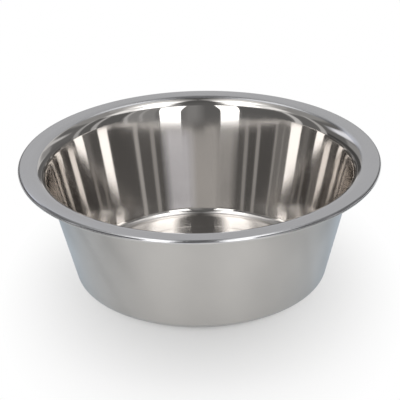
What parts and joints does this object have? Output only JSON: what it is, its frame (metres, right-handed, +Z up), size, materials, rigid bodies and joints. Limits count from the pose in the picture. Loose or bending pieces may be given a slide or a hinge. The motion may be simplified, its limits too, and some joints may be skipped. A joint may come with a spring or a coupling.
{
  "type": "stainless steel dog bowl",
  "caption": "Round free-standing stainless steel feeding bowl with straight tapered wall, rolled-over flat flange, hollow curled rim, raised floor panel and a rubber anti-slip ring under the base.",
  "frame": {"origin": "centre of the base, on the table plane under the anti-slip ring", "axes": "+Z up along the bowl's axis; X and Y in the table plane"},
  "size_m": [0.26, 0.26, 0.0895],
  "materials": {
    "stainless_steel": "bright polished inside, satin brushed outside",
    "rubber": "matte moulded"
  },
  "bodies": {
    "root": {"bowl_shell": "stainless_steel", "anti_slip_ring": "rubber"}
  },
  "joints": []
}
